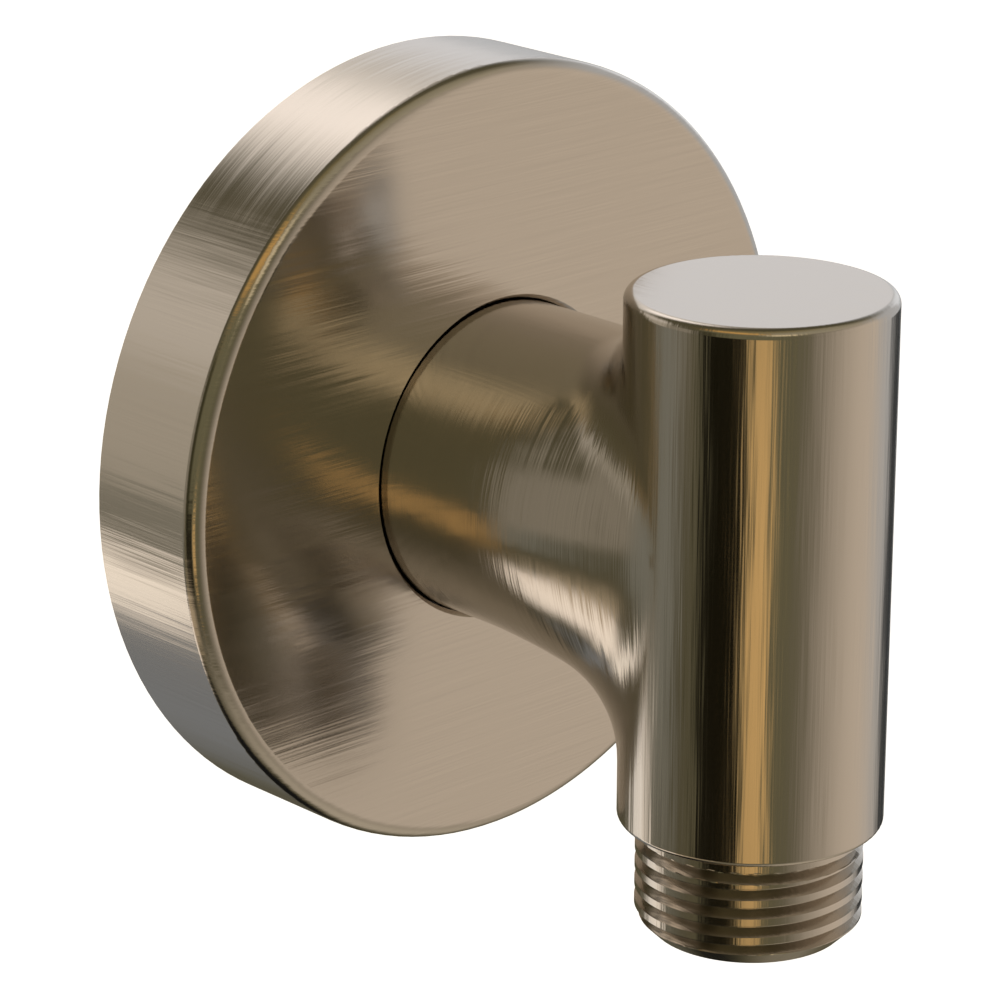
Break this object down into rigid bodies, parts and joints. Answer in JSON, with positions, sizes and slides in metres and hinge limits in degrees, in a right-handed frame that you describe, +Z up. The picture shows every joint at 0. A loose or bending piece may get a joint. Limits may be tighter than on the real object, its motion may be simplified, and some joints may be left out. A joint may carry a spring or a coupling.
{
  "type": "wall outlet elbow",
  "caption": "Wall outlet elbow with a round flange, a horizontal neck, a straight vertical barrel, a male outlet thread below and a non-return valve inside.",
  "frame": {"origin": "centre of the flange's back face, on the wall plane and on the inlet's axis", "axes": "+Y into the wall along the inlet thread, -Y to the front, +Z up, outlet thread along -Z, +X to the right as seen from the front"},
  "size_m": [0.076, 0.0736, 0.076],
  "materials": {
    "brushed_body": "brushed warm nickel plating on brass",
    "brushed_flange": "brushed warm nickel plating on brass",
    "black_rubber": "smooth black rubber",
    "grey_plastic": "smooth moulded plastic",
    "white_plastic": "smooth moulded plastic",
    "spring_steel": "drawn stainless wire"
  },
  "bodies": {
    "outlet": {"elbow_body": "brushed_body", "wall_flange": "brushed_flange", "flange_o_ring": "black_rubber", "wall_seal": "black_rubber", "valve_housing": "grey_plastic", "valve_o_ring": "black_rubber", "valve_guide": "white_plastic", "valve_spring": "spring_steel"},
    "poppet": {"valve_poppet": "white_plastic", "poppet_ring": "black_rubber"}
  },
  "joints": [
    {"name": "poppet_slide", "type": "slide", "parent": "outlet", "child": "poppet", "axis": [0, 0, -1], "range_m": [0, 0.0028], "stiffness_N_per_m": 60, "springref_m": -0.002, "deforming": ["valve_spring"]}
  ]
}
